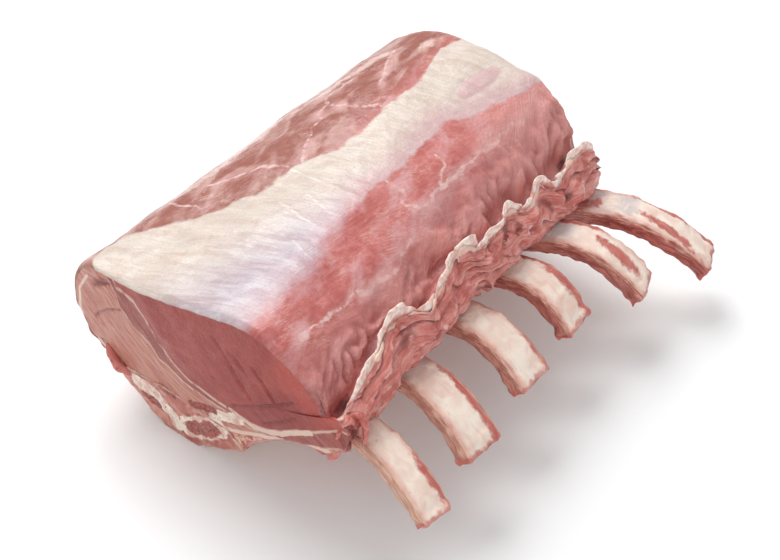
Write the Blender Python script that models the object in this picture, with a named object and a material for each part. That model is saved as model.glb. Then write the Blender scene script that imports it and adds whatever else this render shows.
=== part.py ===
"""Frenched veal rack: one loin of meat on a sawn chine bone, with six ribs cleaned at their ends.

The rack rests on the flat saw cut of its chine. X runs out along the ribs, Y runs along the loin from
its cut face to its far end, and Z is up. Sizes are millimetres until the meshes are made. The shapes
are written from the loin's own middle, and at the end all of them move together, so that the origin is
on the floor under the middle of the whole.
"""

import math

import bmesh
import bpy
from mathutils import Matrix, Vector, noise

MM = 0.001

# Points this close after a cut are made one, in metres.
MERGE = 0.000002

# The loin's two ends along Y, how far their rims are rounded, and how far the end faces dome.
NEAR_Y = -110.0
FAR_Y = 118.0
NEAR_RIM_ROUND = 5.0
FAR_RIM_ROUND = 11.0
NEAR_DOME = 2.0
FAR_DOME = 4.0
CAP_SHARES = (0.93, 0.7, 0.4)
RIM_PULL = 0.5

# Landmarks round the loin's cross-section, as (x, z) at its near face, its middle and its far end.
SECTION = {
    "crown": ((2, 105), (-16, 110), (-34, 114)),
    "crest": ((25, 101), (11, 106), (0, 110)),
    "right_shoulder": ((36, 94.8), (24, 100), (15.5, 104.5)),
    "right_side": ((46, 85), (37, 89), (33, 90)),
    "crease": ((48, 79), (40.5, 83), (38, 71)),
    "flap_edge": ((55, 84), (46.5, 88.5), (46, 75)),
    "flap_face": ((61, 69.5), (54, 72), (53, 62)),
    "lip": ((54, 53), (48, 62), (47, 49)),
    "under_right": ((33, 46), (30, 45), (28, 45)),
    "under_middle": ((6, 27), (4, 27), (3, 27)),
    "chine_right": ((-12, 10), (-6, 8), (-6, 8)),
    "chine_left": ((-56, 8), (-54, 8), (-54, 8)),
    "left_low": ((-82, 24), (-79, 22), (-76, 22)),
    "left_belly": ((-99, 34), (-97, 34), (-93, 36)),
    "left_side": ((-108, 56), (-106, 59), (-101, 61)),
    "left_shoulder": ((-96, 82), (-92, 87.5), (-87, 91)),
    "top_left": ((-64, 88), (-62, 103), (-64, 109)),
}
STEPS_PER_LANDMARK = 4
LOIN_STATIONS = 38
LOIN_CROWDING = 0.35

# Uneven flesh: how far its surface rises and falls, the size of the swells, and the loin's half width.
SWELL = 1.2
SWELL_SIZE = Vector((26.0, 30.0, 26.0))
LOIN_HALF_WIDTH = 90.0

# The flap of rib meat was cut rib by rib, so its edge climbs the side and steps back down: where it
# steps, how far along each stretch it turns, and how far each landmark moves inwards and up.
FLAP_STEPS = (-44.0, 5.0, 47.0, 72.0)
FLAP_TURN = 0.85
FLAP_CLIMB = {
    "right_side": (2.0, 2.0),
    "crease": (6.0, 7.0),
    "flap_edge": (7.0, 9.0),
    "flap_face": (5.0, 4.0),
}

# Ribs: where each leaves the meat along Y, where the middle of its sawn end is, and its width.
RIB_ROOT_Y = (-91.0, -52.0, -10.0, 30.0, 64.0, 97.0)
RIB_TIPS = (
    (99.0, -100.0, 37.0),
    (94.0, -58.0, 37.0),
    (90.0, -10.0, 38.0),
    (87.0, 35.0, 38.0),
    (98.0, 84.0, 32.0),
    (112.0, 130.0, 25.0),
)
RIB_WIDTHS = (17.0, 22.0, 22.0, 23.0, 23.0, 24.0)
RIB_THICKNESS = 10.5
RIB_START = (-14.0, 11.0)
RIB_CREST_X = 60.0
RIB_CREST_Z = (57.0, 57.0, 57.0, 57.0, 55.0, 51.0)
RIB_FAN_FROM_X = 40.0
RIB_STATIONS = 16
RIB_SIDES = 12
RIB_SQUARENESS = 0.55
RIB_WAIST = 0.12
RIB_FLARE = 0.06
RIB_THINNING = 0.1
RIB_WEAR = 0.5
RIB_WEAR_STEPS = Vector((0.45, 0.9, 7.3))
SHORT_STEP = 0.01

# The chine: the sawn vertebrae, in one strip, with its flat saw cut on the floor.
CHINE_OUTLINE = ((-54, 0), (-4, 0), (0, 3), (1, 18), (-10, 27), (-52, 30), (-80, 27), (-82, 21))
CHINE_NEAR_Y = -111.5
CHINE_FAR_Y = 114.0
CHINE_STATIONS = 40
CHINE_CROWDING = 0.2
CHINE_WAIST = 1.5
CHINE_NEAR_NARROWING = 28.0
CHINE_NARROW_SHARE = 0.2
VERTEBRAE = 6

# The meat stands this far clear of its bones.
CLEARANCE = 0.3

# Colour and roughness of each material, and the angle over which an edge is shaded sharp.
FLESH = ((0.62, 0.26, 0.23), 0.45)
BONE = ((0.80, 0.66, 0.54), 0.5)
SHARP_ANGLE = math.radians(50)


def quadratic(near, middle, far, along):
    """The value at along, from 0 to 1, of the parabola through near, middle and far."""
    return (
        near * (1 - along) * (1 - 2 * along)
        + middle * 4 * along * (1 - along)
        + far * along * (2 * along - 1)
    )


def smooth_closed(points, steps):
    """A closed Catmull-Rom curve through points, with steps points from each to the next."""
    count = len(points)
    made = []
    for i in range(count):
        before, start, end, after = (points[(i + k - 1) % count] for k in range(4))
        for step in range(steps):
            t = step / steps
            made.append(
                tuple(
                    0.5
                    * (
                        2 * b
                        + (c - a) * t
                        + (2 * a - 5 * b + 4 * c - d) * t * t
                        + (3 * b - a - 3 * c + d) * t**3
                    )
                    for a, b, c, d in zip(before, start, end, after)
                )
            )
    return made


def climb(y):
    """How high the edge of the flap stands at y: it goes up from -0.5 to 0.5 and steps back down."""
    edges = [NEAR_Y, *FLAP_STEPS, FAR_Y]
    for low, high in zip(edges, edges[1:]):
        if y <= high:
            part = (y - low) / (high - low)
            up = part / FLAP_TURN
            down = (1 - part) / (1 - FLAP_TURN)
            return min(up, down) - 0.5
    return -0.5


def section(y):
    """The loin's outline at y, as a closed ring of (x, z)."""
    along = (y - NEAR_Y) / (FAR_Y - NEAR_Y)
    landmarks = []
    for name, (near, middle, far) in SECTION.items():
        x, z = (quadratic(n, m, f, along) for n, m, f in zip(near, middle, far))
        inwards, upwards = FLAP_CLIMB.get(name, (0.0, 0.0))
        landmarks.append((x - inwards * climb(y), z + upwards * climb(y)))
    ring = smooth_closed(landmarks, STEPS_PER_LANDMARK)
    for from_rim, rounding in ((y - NEAR_Y, NEAR_RIM_ROUND), (FAR_Y - y, FAR_RIM_ROUND)):
        if from_rim < rounding:
            inset = rounding - math.sqrt(rounding**2 - (rounding - from_rim) ** 2)
            ring = pulled_in(ring, RIM_PULL * inset)
    return ring


def pulled_in(ring, distance):
    """The ring with each point moved towards the ring's middle."""
    middle_x = sum(x for x, _ in ring) / len(ring)
    middle_z = sum(z for _, z in ring) / len(ring)
    made = []
    for x, z in ring:
        reach = math.hypot(x - middle_x, z - middle_z)
        keep = 1 - distance / reach
        made.append((middle_x + (x - middle_x) * keep, middle_z + (z - middle_z) * keep))
    return made


def spaced(low, high, count, crowd):
    """Positions from low to high, crowded towards both ends by crowd, from 0 to 1."""
    made = []
    for i in range(count):
        even = i / (count - 1)
        eased = (1 - math.cos(math.pi * even)) / 2
        made.append(low + (high - low) * (even + (eased - even) * crowd))
    return made


def loft(name, rings, finish):
    """A closed solid through rings of equal length, each a list of (x, y, z) in millimetres."""
    built = bmesh.new()
    loops = [[built.verts.new(Vector(p) * MM) for p in ring] for ring in rings]
    count = len(loops[0])
    for first, second in zip(loops, loops[1:]):
        for i in range(count):
            j = (i + 1) % count
            built.faces.new((first[i], first[j], second[j]))
            built.faces.new((first[i], second[j], second[i]))
    for loop in (loops[0], loops[-1]):
        cap = built.faces.new(loop)
        bmesh.ops.triangulate(built, faces=[cap])
    bmesh.ops.recalc_face_normals(built, faces=built.faces)
    mesh = bpy.data.meshes.new(name)
    built.to_mesh(mesh)
    built.free()
    mesh.shade_smooth()
    mesh.set_sharp_from_angle(angle=SHARP_ANGLE)
    made = bpy.data.objects.new(name, mesh)
    made.data.materials.append(material(name, finish))
    return made


def material(name, finish):
    """A material of its own for one piece, from a colour and a roughness."""
    colour, roughness = finish
    made = bpy.data.materials.new(name)
    made.use_nodes = True
    shader = made.node_tree.nodes["Principled BSDF"]
    shader.inputs["Base Color"].default_value = (*colour, 1)
    shader.inputs["Roughness"].default_value = roughness
    shader.inputs["Metallic"].default_value = 0.0
    return made


def shrunk(ring, share, dome):
    """The ring scaled towards its middle and moved along Y, as one step of a domed end face."""
    middle = sum((Vector(p) for p in ring), Vector()) / len(ring)
    moved = []
    for point in ring:
        inner = middle + (Vector(point) - middle) * share
        inner.y += dome * (1 - share**2)
        moved.append(tuple(inner))
    return moved


def meat():
    """The loin: the eye muscle, its cover and the flap of rib meat, in one solid."""
    rings = []
    for y in spaced(NEAR_Y, FAR_Y, LOIN_STATIONS, LOIN_CROWDING):
        ring = []
        for x, z in section(y):
            place = Vector((x, y, z))
            swell = SWELL * noise.noise(Vector(a / b for a, b in zip(place, SWELL_SIZE)))
            ring.append((x * (1 + swell / LOIN_HALF_WIDTH), y, z + swell))
        rings.append(ring)
    near_cap = [shrunk(rings[0], share, -NEAR_DOME) for share in reversed(CAP_SHARES)]
    far_cap = [shrunk(rings[-1], share, FAR_DOME) for share in CAP_SHARES]
    return loft("meat", [*near_cap, *rings, *far_cap], FLESH)


def rib_line(index, along):
    """The middle of a rib at along, from 0 at the chine to 1 at its sawn end."""
    start_x, start_z = RIB_START
    tip_x, tip_y, tip_z = RIB_TIPS[index]
    root_y = RIB_ROOT_Y[index]
    crest_z = RIB_CREST_Z[index]
    x = start_x + (tip_x - start_x) * along
    if x < RIB_CREST_X:
        fall = (crest_z - start_z) * ((RIB_CREST_X - x) / (RIB_CREST_X - start_x)) ** 2
    else:
        fall = (crest_z - tip_z) * ((x - RIB_CREST_X) / (tip_x - RIB_CREST_X)) ** 2
    out = max(0.0, (x - RIB_FAN_FROM_X) / (tip_x - RIB_FAN_FROM_X))
    return Vector((x, root_y + (tip_y - root_y) * out, crest_z - fall))


def rib_rings(index, grow):
    """Rings along a rib, grown all round by grow."""
    rings = []
    for i in range(RIB_STATIONS):
        along = i / (RIB_STATIONS - 1)
        here = rib_line(index, along)
        ahead = rib_line(index, along + SHORT_STEP) - rib_line(index, along - SHORT_STEP)
        ahead.normalize()
        across = Vector((0, 0, 1)).cross(ahead).normalized()
        up = ahead.cross(across).normalized()
        waist = 1 - RIB_WAIST * math.sin(math.pi * along) ** 2 + RIB_FLARE * along
        half_width = RIB_WIDTHS[index] / 2 * waist
        half_depth = RIB_THICKNESS / 2 * (1 - RIB_THINNING * along)
        if i == 0:
            here -= ahead * grow
        if i == RIB_STATIONS - 1:
            here += ahead * grow
        ring = []
        for side in range(RIB_SIDES):
            angle = 2 * math.pi * (side + 0.5) / RIB_SIDES
            wear = RIB_WEAR * noise.noise(Vector((i, side, index)) * RIB_WEAR_STEPS)
            sideways = squared(math.cos(angle)) * (half_width + wear + grow)
            upwards = squared(math.sin(angle)) * (half_depth + wear + grow)
            ring.append(tuple(here + across * sideways + up * upwards))
        rings.append(ring)
    return rings


def squared(value):
    """A cosine or sine pushed outwards, so that a circle becomes a rounded rectangle."""
    return math.copysign(abs(value) ** RIB_SQUARENESS, value)


def chine_rings(grow):
    """Rings along the chine, waisted between its vertebrae and narrower at its near end."""
    rings = []
    middle_x = sum(x for x, _ in CHINE_OUTLINE) / len(CHINE_OUTLINE)
    middle_z = sum(z for _, z in CHINE_OUTLINE) / len(CHINE_OUTLINE)
    for y in spaced(CHINE_NEAR_Y, CHINE_FAR_Y, CHINE_STATIONS, CHINE_CROWDING):
        along = (y - CHINE_NEAR_Y) / (CHINE_FAR_Y - CHINE_NEAR_Y)
        waist = CHINE_WAIST * math.cos(2 * math.pi * VERTEBRAE * along)
        narrowing = CHINE_NEAR_NARROWING * max(0, 1 - along / CHINE_NARROW_SHARE)
        ring = []
        for x, z in CHINE_OUTLINE:
            out_x = math.copysign(1, x - middle_x)
            out_z = math.copysign(1, z - middle_z)
            if z > 0:
                x -= out_x * waist
            if out_x > 0 and out_z < 0:
                x -= narrowing
            ring.append((x, z))
        rings.append([(x, y, z) for x, z in grown(ring, grow)])
    rings[0] = [(x, y - grow, z) for x, y, z in rings[0]]
    rings[-1] = [(x, y + grow, z) for x, y, z in rings[-1]]
    return rings


def grown(ring, distance):
    """The (x, z) ring, which runs anticlockwise, with each of its sides moved out by distance."""
    made = []
    for before, here, after in zip([ring[-1], *ring], ring, [*ring[1:], ring[0]]):
        arriving = Vector((here[1] - before[1], before[0] - here[0])).normalized()
        leaving = Vector((after[1] - here[1], here[0] - after[0])).normalized()
        out = (arriving + leaving).normalized()
        out *= distance / out.dot(leaving)
        made.append((here[0] + out.x, here[1] + out.y))
    return made


def cut(solid, cutter):
    """Takes cutter out of solid, for good, and drops what comes loose."""
    bpy.context.view_layer.update()
    modifier = solid.modifiers.new("bone_seat", "BOOLEAN")
    modifier.operation = "DIFFERENCE"
    modifier.solver = "EXACT"
    modifier.object = cutter
    graph = bpy.context.evaluated_depsgraph_get()
    made = bpy.data.meshes.new_from_object(solid.evaluated_get(graph))
    solid.modifiers.clear()
    solid.data = made
    built = bmesh.new()
    built.from_mesh(made)
    bmesh.ops.remove_doubles(built, verts=built.verts, dist=MERGE)
    islands = connected(built)
    largest = max(islands, key=len)
    loose = [v for island in islands if island is not largest for v in island]
    bmesh.ops.delete(built, geom=loose, context="VERTS")
    built.to_mesh(made)
    built.free()


def connected(built):
    """The mesh's vertices, as one list for each connected piece."""
    left = set(built.verts)
    islands = []
    while left:
        island = []
        waiting = [left.pop()]
        while waiting:
            here = waiting.pop()
            island.append(here)
            for edge in here.link_edges:
                other = edge.other_vert(here)
                if other in left:
                    left.remove(other)
                    waiting.append(other)
        islands.append(island)
    return islands


def centre(pieces):
    """Moves the pieces together, until the origin is under the middle of the box round them all."""
    corners = [piece.matrix_world @ v.co for piece in pieces for v in piece.data.vertices]
    low_x, high_x = min(c.x for c in corners), max(c.x for c in corners)
    low_y, high_y = min(c.y for c in corners), max(c.y for c in corners)
    shift = Vector(((low_x + high_x) / 2, (low_y + high_y) / 2, 0))
    for piece in pieces:
        piece.data.transform(Matrix.Translation(-shift))


def main():
    for old in list(bpy.data.objects):
        bpy.data.objects.remove(old)
    rack = bpy.data.collections.new("frenched_rack")
    seats = bpy.data.collections.new("bone_seats")
    for group in (rack, seats):
        bpy.context.scene.collection.children.link(group)

    loin = meat()
    chine = loft("chine", chine_rings(0), BONE)
    chine_seat = loft("chine_seat", chine_rings(CLEARANCE), BONE)
    for piece, group in ((loin, rack), (chine, rack), (chine_seat, seats)):
        group.objects.link(piece)
    cut(loin, chine_seat)
    for index in range(len(RIB_TIPS)):
        rib = loft(f"rib_{index + 1}", rib_rings(index, 0), BONE)
        seat = loft(f"rib_seat_{index + 1}", rib_rings(index, CLEARANCE), BONE)
        rack.objects.link(rib)
        seats.objects.link(seat)
        cut(rib, chine_seat)
        cut(loin, seat)
    for seat in list(seats.objects):
        bpy.data.objects.remove(seat)
    bpy.data.collections.remove(seats)
    centre(list(rack.objects))


main()
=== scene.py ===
"""The looks of the frenched rack: flesh, silverskin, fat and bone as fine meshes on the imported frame.

Every shape is worked out in the loin's own millimetres: X out along the ribs, Y along the loin from its
cut face, Z up. The last step of each mesh moves it to the frame's origin and turns it into metres.
Places on the loin's skin are (along, round): millimetres along Y, and millimetres round the section from
the crown, to the right where positive and to the left where negative.
"""

import math

import bmesh
import bpy
import numpy as np
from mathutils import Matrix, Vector, noise


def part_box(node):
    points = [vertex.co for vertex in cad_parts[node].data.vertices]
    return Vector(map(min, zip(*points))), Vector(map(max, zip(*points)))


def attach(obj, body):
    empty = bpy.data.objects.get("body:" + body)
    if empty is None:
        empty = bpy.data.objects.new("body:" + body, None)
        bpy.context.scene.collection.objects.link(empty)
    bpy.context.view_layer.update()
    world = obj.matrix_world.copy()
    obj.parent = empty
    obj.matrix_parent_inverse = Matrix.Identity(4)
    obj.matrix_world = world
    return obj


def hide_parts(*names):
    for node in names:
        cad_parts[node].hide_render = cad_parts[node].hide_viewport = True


MM = 0.001
# Points that lie closer than this, in millimetres, become one.
MERGE_REACH = 0.002

# The loin's ends along Y and their rounding.
NEAR_Y = -110
FAR_Y = 118
NEAR_RIM_ROUND = 4
FAR_RIM_ROUND = 11
RIM_PULL = 0.5
NEAR_DOME = 2
FAR_DOME = 4

# Landmarks round the loin's cross-section, as (x, z) at its near face, its middle and its far end.
SECTION = {
    "crown": ((2, 105), (-16, 110), (-34, 114)),
    "crest": ((25, 101), (11, 106), (0, 110)),
    "right_shoulder": ((36, 94.8), (24, 100), (15.5, 104.5)),
    "right_side": ((46, 85), (37, 89), (33, 90)),
    "crease": ((48, 79), (40.5, 83), (38, 71)),
    "flap_edge": ((55, 84), (46.5, 88.5), (46, 75)),
    "flap_face": ((61, 69.5), (54, 72), (53, 62)),
    "lip": ((54, 53), (48, 62), (47, 49)),
    "under_right": ((33, 46), (30, 45), (28, 45)),
    "under_middle": ((6, 27), (4, 27), (3, 27)),
    "chine_right": ((-12, 10), (-6, 8), (-6, 8)),
    "chine_left": ((-56, 8), (-54, 8), (-54, 8)),
    "left_low": ((-82, 24), (-79, 22), (-76, 22)),
    "left_belly": ((-99, 34), (-97, 34), (-93, 36)),
    "left_side": ((-108, 56), (-106, 59), (-101, 61)),
    "left_shoulder": ((-96, 82), (-92, 87.5), (-87, 91)),
    "top_left": ((-64, 88), (-62, 103), (-64, 109)),
}
NAMES = list(SECTION)
TURN = len(NAMES)
CREASE = NAMES.index("crease")
FLAP_EDGE = NAMES.index("flap_edge")
LIP = NAMES.index("lip")
CHINE_RIGHT = NAMES.index("chine_right")

# The flap's edge climbs the side and steps back down; each landmark moves inwards and up with it.
FLAP_STEPS = (-44, 5, 47, 72)
FLAP_TURN = 0.85
FLAP_CLIMB = {
    "right_side": (2, 2),
    "crease": (6, 7),
    "flap_edge": (7, 9),
    "flap_face": (5, 4),
}

# Swells of the flesh, as in the solids.
SWELL = 1.2
SWELL_SIZE = (26, 30, 26)
LOIN_HALF_WIDTH = 90

# How finely the loin is meshed: rings along it and on its two ends, and points round each ring, which
# lie closer together where the density is higher. Densities are given at landmarks.
LOIN_RINGS = 170
NEAR_RINGS = 62
FAR_RINGS = 16
LOIN_POINTS = 386
DENSITY = ((0, 1), (2, 1.2), (3, 1.8), (7.5, 1.8), (8.5, 0.7), (9.5, 0.5), (13, 0.6), (14.5, 0.9), (17, 1))
SCALE_STEPS = 3000
LOIN_CROWDING = 0.35

# Each end's rings close in on a line across the end, given by its two (x, z) ends.
END_LINE = ((-62, 60), (16, 64))
END_LINE_STEPS = 60

# The silverskin's left and right borders, as (along, round).
SILVER_LEFT = (
    (-110, -72), (-103, -77), (-97, -78), (-85, -74), (-71, -59), (-54, -46), (-36, -35), (-16, -33),
    (4, -20), (24, -15), (43, -15), (69, -8), (100, -15), (112, -8), (120, -6),
)
SILVER_RIGHT = (
    (-110, 9), (-86, 13), (-64, 17), (-48, 12), (-7, 11), (9, 16), (53, 18), (67, 27), (80, 29),
    (96, 35), (112, 38), (120, 38),
)

# White threads and webs over the red flesh, each a line of (along, round).
THREADS = (
    ((-14, -28), (10, -41), (43, -58), (59, -57)),
    ((57, -31), (80, -45), (91, -50)),
    ((34, -49), (37, -29), (43, -18)),
    ((-60, -74), (-56, -61), (-55, -52)),
    ((-41, -65), (-31, -55), (-22, -46), (-15, -34)),
    ((-1, 14), (-2, 22), (-6, 30), (-2, 34), (10, 36), (16, 37), (25, 39), (35, 38)),
    ((29, 24), (27, 31), (15, 37)),
    ((29, 40), (45, 38), (61, 41), (73, 41), (91, 44)),
    ((-99, 32), (-81, 36), (-65, 38), (-52, 42), (-32, 45), (-19, 42)),
)
# Scores that the knife left in the silverskin.
SCORES = (
    ((-17, -34), (-20, -13), (-20, 2), (-19, 13)),
    ((-59, -3), (-63, 6), (-64, 16)),
    ((-40, -22), (-44, -8), (-45, 0)),
    ((-30, -14), (-35, 2), (-34, 8)),
)
# Pale fatty patches on the skin: middle (along, round), half length, half width, and turn in degrees.
PALE_PATCHES = (
    (78, -56, 22, 7, 14),
    (-10, -76, 70, 9, 2),
    (45, -66, 40, 6, 10),
    (100, -30, 12, 8, 0),
)
# The window near the far end where the silverskin was shaved thin.
WINDOW = (88, 17, 18, 4.5, 8)

# The smoothing and the waves of the flap, in millimetres.
FLAP_EASE = (-6, -4, -2, 0, 2, 4, 6)
FLAP_WAVE = 3.2
FLAP_WAVE_LENGTHS = (13, 9)
# Layers of the flap in each step between two landmarks.
FLAP_LAYERS = 2.2

# Where the flap stands off the side and leaves a deep gap, painted darker as shade: middle and half length
# along the loin.
CREASE_GAPS = ((-100, 7), (-76, 6), (-38, 5), (5, 8), (30, 4), (50, 6), (72, 6), (100, 9))

# Marks on a cut end, as lines of (x, z). The eye muscle lies above and right of the first border, the
# darker band between the two, and the paler muscle beyond the second.
EYE_BORDER = (
    (-78, 90), (-73, 82), (-62, 80), (-54, 71), (-49, 64), (-41, 55), (-32, 49), (-22, 46), (-6, 44),
    (6, 43), (15, 45), (23, 49), (32, 57), (41, 62), (56, 72),
)
BAND_BORDER = (
    (-80, 86), (-75, 80), (-72, 72), (-67, 66), (-62, 62), (-54, 57), (-50, 51), (-40, 46), (-30, 43),
    (-11, 41), (4, 39), (20, 40), (56, 60),
)
# The dark red notch under the silverskin's corner, and the painted shade on the eye muscle's lower right:
# middle (x, z), half length, half width, and turn in degrees.
NOTCH = (-84, 79, 9, 3.5, 35)
SHADE = (24, 62, 30, 13, 38)
# Knife cuts and slits in the flesh of the cut end, carved in and painted dark as shade.
SLITS = (
    ((-89, 74), (-84, 79), (-78, 81)),
    ((-11, 89), (-5, 82), (2, 71), (9, 63)),
    ((0, 85), (6, 79)),
    ((11, 84), (17, 78), (23, 69)),
    ((-4, 49), (11, 60), (23, 68), (33, 76)),
    ((14, 49), (24, 57), (34, 67)),
    ((-92, 53), (-89, 57), (-81, 64), (-72, 69)),
    ((-102, 36), (-96, 35), (-89, 37)),
)
# Bone, marrow and fat on the cut end: each a line, and how far the mark reaches to both sides of it.
BONE_MARKS = (
    (((-69, 22), (-62, 22), (-54, 18), (-48, 13), (-45, 8)), 4.4),
    (((-36, 11), (-28, 16), (-17, 24)), 7),
    (((-18, 33), (-2, 40)), 3.6),
)
MARROW_MARKS = (
    (((-66, 15), (-57, 14)), 2.4),
    (((-52, 29), (-44, 28)), 2.2),
    (((-35, 12), (-28, 15), (-19, 22)), 4.6),
    (((-33, 30), (-25, 33), (-18, 36)), 2.6),
)
FAT_MARKS = (
    (((-6, 45), (0, 43), (7, 41), (15, 43), (23, 47), (32, 55), (41, 61)), 1.7),
    (((-14, 26), (-4, 30), (8, 36), (20, 41), (34, 47), (50, 55)), 1.5),
    (((-93, 78), (-101, 66), (-104, 51), (-103, 41), (-96, 35), (-90, 32)), 1),
)

# How the marks move on the far end, to the left and up.
FAR_MARKS_SHIFT = (14, 4)
# This far in from its rim, in millimetres, the relief of an end stands straight off it.
FLAT_END_FROM = 2.5

# Right of here, what lies under the second line of fat is torn flesh.
SKIRT_FROM_X = -8
NO_SKIRT = -5

# Ribs, as in the solids.
RIB_ROOT_Y = (-91, -52, -10, 30, 64, 97)
RIB_TIPS = (
    (99, -100, 37),
    (94, -58, 37),
    (90, -10, 38),
    (87, 35, 38),
    (98, 84, 32),
    (112, 130, 25),
)
RIB_WIDTHS = (17, 22, 22, 23, 23, 24)
RIB_THICKNESS = 10.5
RIB_START = (-14, 11)
RIB_CREST_X = 60
RIB_CREST_Z = (57, 57, 57, 57, 55, 51)
RIB_FAN_FROM_X = 40
RIB_SQUARENESS = 0.55
RIB_WAIST = 0.12
RIB_FLARE = 0.06
RIB_THINNING = 0.1
SHORT_STEP = 0.01
# Red meat left on the ribs' tops, each (from the tip, across, half length, half width, turn in degrees).
RIB_FLESH = (
    ((12, 7, 13, 3.5, 0),),
    ((14, 9.5, 26, 4, 3),),
    ((12, 11.5, 22, 4, 5),),
    ((20, 10.5, 26, 5.5, 8),),
    ((15, 0.5, 12, 4.5, 6), (36, 9, 15, 3.5, -6)),
    ((24, -4, 17, 3.5, 10), (18, 10.5, 30, 3, 0), (64, -3, 11, 6, 0)),
)
# How bare of red meat each rib's flanks and edges are, from 0 to 1.
RIB_BARENESS = (0.8, 0.5, 0.35, 0.2, 0.2, 0.1)
RIB_RINGS = 150
RIB_POINTS = 72
RIB_END_RINGS = 10
RIB_END_HOLE = 0.03
# How far along its line each rib's mesh begins.
RIB_FIRST_SHARE = 0.02

# Stretches of fat along the flap's edge: from, to, place round the section, and height.
FAT_EDGES = (
    (-104, -73, 4.95, 5),
    (-79, -46, 4.9, 6.5),
    (-47, -29, 4.8, 5),
    (-33, -4, 4.95, 5.5),
    (-9, 6, 4.85, 7.5),
    (2, 31, 4.95, 5),
    (28, 48, 4.88, 6.5),
    (44, 73, 4.95, 5.5),
    (68, 93, 4.95, 5),
    (90, 114, 4.9, 7),
)
FAT_THICKNESS = 2.2
FAT_FACING = (-0.15, 0, 1)
FAT_PATH_POINTS = 24
# How far the fat's foot is sunk into the flap, sideways and down.
FAT_SUNK = (0.72, 1.8)
# Loose scraps: name, path, height, thickness, which way it stands, and its seed.
SCRAPS = (
    (
        "curl",
        (
            (54, -108, 64), (54.5, -107, 68), (54, -104.5, 71.5), (55.5, -101, 74), (59, -99, 74),
            (62.5, -100, 70.5), (64, -102, 66), (64, -104, 62),
        ),
        7,
        3.6,
        (0.44, -0.58, 0.68),
        4.5,
    ),
    (
        "belly_scrap",
        ((-89, -107, 38), (-85, -111, 34), (-79, -112, 29), (-71, -110, 24)),
        4.5,
        4.5,
        (-0.6, -0.3, -0.6),
        11.5,
    ),
)
# The mesh of a strip of fat or flesh: how far apart its rings lie, the fewest of them, points round each
# ring, how often its path is eased, and the share of its length over which each end tapers.
STRIP_STEP = 0.7
STRIP_FEWEST_RINGS = 12
STRIP_POINTS = 20
STRIP_EASINGS = 4
STRIP_TAPER = 0.35
# The hollow inside the curl, carved in and painted dark as shade: its middle and how far it reaches.
HOLLOW = (59, -106, 67)
HOLLOW_REACH = 6
# Shreds pulled out of the lower edge of each rib's sawn end: place across, from -1 to 1, and length.
RIB_SHREDS = (
    ((-0.6, 1.5),),
    ((0.8, 1.8),),
    ((0.2, 1.5),),
    ((0.9, 2.2),),
    ((-0.7, 1.2), (0.1, 1.2)),
    ((0.9, 1.4), (-0.8, 1.2)),
)

# The chine, as in the solids.
CHINE_OUTLINE = ((-54, 0), (-4, 0), (0, 3), (1, 18), (-10, 27), (-52, 30), (-80, 27), (-82, 21))
CHINE_NEAR_Y = -111.5
CHINE_FAR_Y = 114
CHINE_WAIST = 1.5
CHINE_NEAR_NARROWING = 28
CHINE_NARROW_SHARE = 0.2
VERTEBRAE = 6
CHINE_RINGS = 190
CHINE_POINTS = 200
CHINE_END_RINGS = 26
CHINE_END_HOLE = 0.02
CHINE_CROWDING = 0.2
# What lies lower than this, in millimetres, is the saw cut.
SAWN_BELOW = 0.5

# The camera of the photograph.
CAMERA_TURN = math.radians(37)
CAMERA_RISE = math.radians(43)
CAMERA_DISTANCE = 0.65
CAMERA_TARGET = (0, 0, 45)
LENS = 60
SENSOR = 36

# The floor: half its width and the size of its grain in metres, and its two colours as shaders take them.
FLOOR_HALF = 6
FLOOR_GRAIN = 0.4
FLOOR_ROUGHNESS = 0.7
FLOOR_COLOURS = ((0.915, 0.93, 0.935, 1), (0.935, 0.95, 0.955, 1))

# Lamps, each with its place and size in metres and its power in watts, and what they face.
LAMPS = (("key", (-0.85, 0.35, 1.3), 1, 20.5), ("front", (0.9, -1, 0.9), 1.2, 4))
LAMP_TARGET = (0, 0, 0.05)
SURROUND_STRENGTH = 0.6

# How each kind of surface takes light: what goes under it and how far, its shine, and its wet coat.
SUBSURFACE_SCALE = 2 * MM
SURFACE = ("Subsurface Weight", "Subsurface Radius", "Specular IOR Level", "Coat Weight", "Coat Roughness")
FLESH = (0.15, (1, 0.35, 0.25), 0.3, 0.15, 0.12)
BONE = (0.2, (1, 0.5, 0.35), 0.5, 0.15, 0.3)
SCRAP = (0.3, (1, 0.4, 0.3), 0.5, 0.3, 0.2)
PLAIN = ()


def origin_shift():
    """What takes the loin's millimetres to the frame's, worked out from where the chine is packed."""
    low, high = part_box("chine")
    x = min(x for x, _ in CHINE_OUTLINE) - CHINE_WAIST - low[0] / MM
    y = (CHINE_NEAR_Y + CHINE_FAR_Y) / 2 - (low[1] + high[1]) / 2 / MM
    return np.array((x, y, 0))


def to_frame(points):
    return (np.asarray(points) - SHIFT) * MM


def quadratic(near, middle, far, along):
    """The value at along, from 0 to 1, of the parabola through near, middle and far."""
    return (
        near * (1 - along) * (1 - 2 * along)
        + middle * 4 * along * (1 - along)
        + far * along * (2 * along - 1)
    )


def climb(y):
    """How high the edge of the flap stands at y: it goes up from -0.5 to 0.5 and steps back down."""
    edges = [NEAR_Y, *FLAP_STEPS, FAR_Y]
    for low, high in zip(edges, edges[1:]):
        if y <= high:
            part = (y - low) / (high - low)
            return min(part / FLAP_TURN, (1 - part) / (1 - FLAP_TURN)) - 0.5
    return -0.5


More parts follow.
